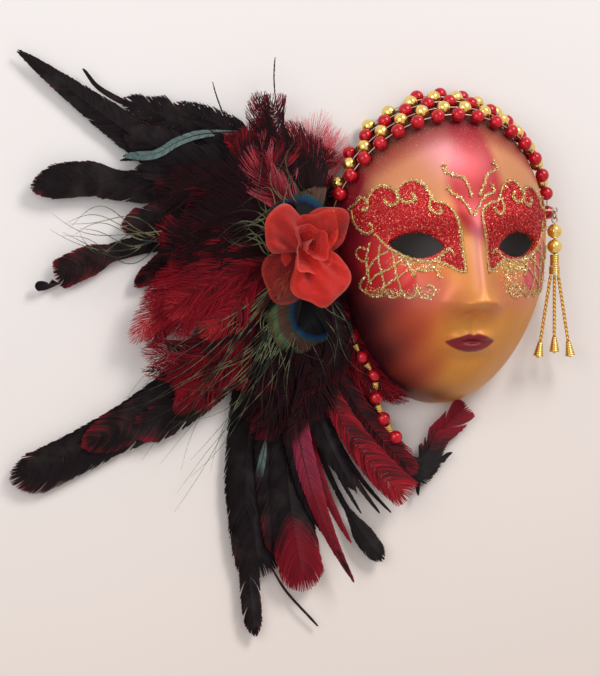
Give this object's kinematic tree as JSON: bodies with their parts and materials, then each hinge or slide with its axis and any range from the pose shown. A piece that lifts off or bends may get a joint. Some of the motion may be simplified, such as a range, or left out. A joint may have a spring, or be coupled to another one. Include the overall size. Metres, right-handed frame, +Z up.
{
  "type": "masquerade mask",
  "caption": "Full-face papier-mache wall mask with a bead-net cap, a strand of cheek beads, a side spray of feathers under an organza flower, and a swinging bead tassel.",
  "frame": {"origin": "middle of the opening at the back, in the plane of the shell's rim", "axes": "+Z up the face, +Y out of the back towards the wall or the wearer, the face looks towards -Y, +X towards the tassel"},
  "size_m": [0.3259, 0.0668, 0.3163],
  "materials": {
    "shell_paper": "satin painted papier-mache",
    "felt": "pressed felt",
    "glue": "hot-melt glue",
    "coque": "black cockerel feather with a green sheen",
    "hackle": "dyed burgundy feather",
    "marabou": "dyed marabou down",
    "peacock": "iridescent peacock feather",
    "organza": "sheer organza",
    "stiffener": "stiffened cloth",
    "red_bead": "pearl lacquered bead",
    "gold_bead": "gold-plated bead",
    "thread": "nylon thread",
    "wire": "bright wire",
    "gold_metal": "gold-plated metal",
    "gold_cord": "twisted metallic cord"
  },
  "bodies": {
    "mask": {"cap_row_1": "red_bead", "cap_row_2": "gold_bead", "cap_row_3": "red_bead", "cap_row_4": "gold_bead", "cap_row_5": "red_bead", "cap_threads": "thread", "cheek_beads": "red_bead", "cheek_cones": "gold_metal", "cheek_thread": "thread", "coque_1": "coque", "coque_10": "coque", "coque_11": "coque", "coque_12": "coque", "coque_2": "coque", "coque_3": "coque", "coque_4": "coque", "coque_5": "coque", "coque_6": "coque", "coque_7": "coque", "coque_8": "coque", "coque_9": "coque", "eye_pin": "wire", "feather_pad": "felt", "flower_base": "stiffener", "flower_heart": "organza", "glue_core": "glue", "hackle_1": "hackle", "hackle_2": "hackle", "hackle_3": "hackle", "hackle_4": "hackle", "hackle_5": "hackle", "hackle_6": "hackle", "hackle_7": "hackle", "hackle_8": "hackle", "hackle_9": "hackle", "marabou_1": "marabou", "mask_shell": "shell_paper", "peacock_1": "peacock", "peacock_2": "peacock", "petal_lower_left": "organza", "petal_lower_right": "organza", "petal_upper_left": "organza", "petal_upper_right": "organza"},
    "ring": {"jump_ring": "wire"},
    "tassel": {"head_pin": "wire", "tassel_bead_upper": "gold_metal", "tassel_bead_lower": "gold_metal", "tassel_neck": "gold_metal", "tassel_collar": "gold_metal"},
    "strand_left": {"strand_left_cord": "gold_cord", "strand_left_bell": "gold_metal", "strand_left_tip": "gold_metal"},
    "strand_middle": {"strand_middle_cord": "gold_cord", "strand_middle_bell": "gold_metal", "strand_middle_tip": "gold_metal"},
    "strand_right": {"strand_right_cord": "gold_cord", "strand_right_bell": "gold_metal", "strand_right_tip": "gold_metal"}
  },
  "joints": [
    {"name": "ring_swing", "type": "hinge", "parent": "mask", "child": "ring", "pos_m": [0.06584, -0.01466, 0.0214], "axis": [1, 0, 0], "range_deg": [-60, 7]},
    {"name": "tassel_swing", "type": "hinge", "parent": "ring", "child": "tassel", "pos_m": [0.06584, -0.01466, 0.01845], "axis": [0, 1, 0], "range_deg": [-60, 3]},
    {"name": "strand_left_swing", "type": "hinge", "parent": "tassel", "child": "strand_left", "pos_m": [0.06344, -0.01466, -0.0132], "axis": [1, 0, 0], "range_deg": [-35, 3]},
    {"name": "strand_middle_swing", "type": "hinge", "parent": "tassel", "child": "strand_middle", "pos_m": [0.06584, -0.01466, -0.0132], "axis": [1, 0, 0], "range_deg": [-35, 3]},
    {"name": "strand_right_swing", "type": "hinge", "parent": "tassel", "child": "strand_right", "pos_m": [0.06824, -0.01466, -0.0132], "axis": [1, 0, 0], "range_deg": [-35, 3]}
  ]
}
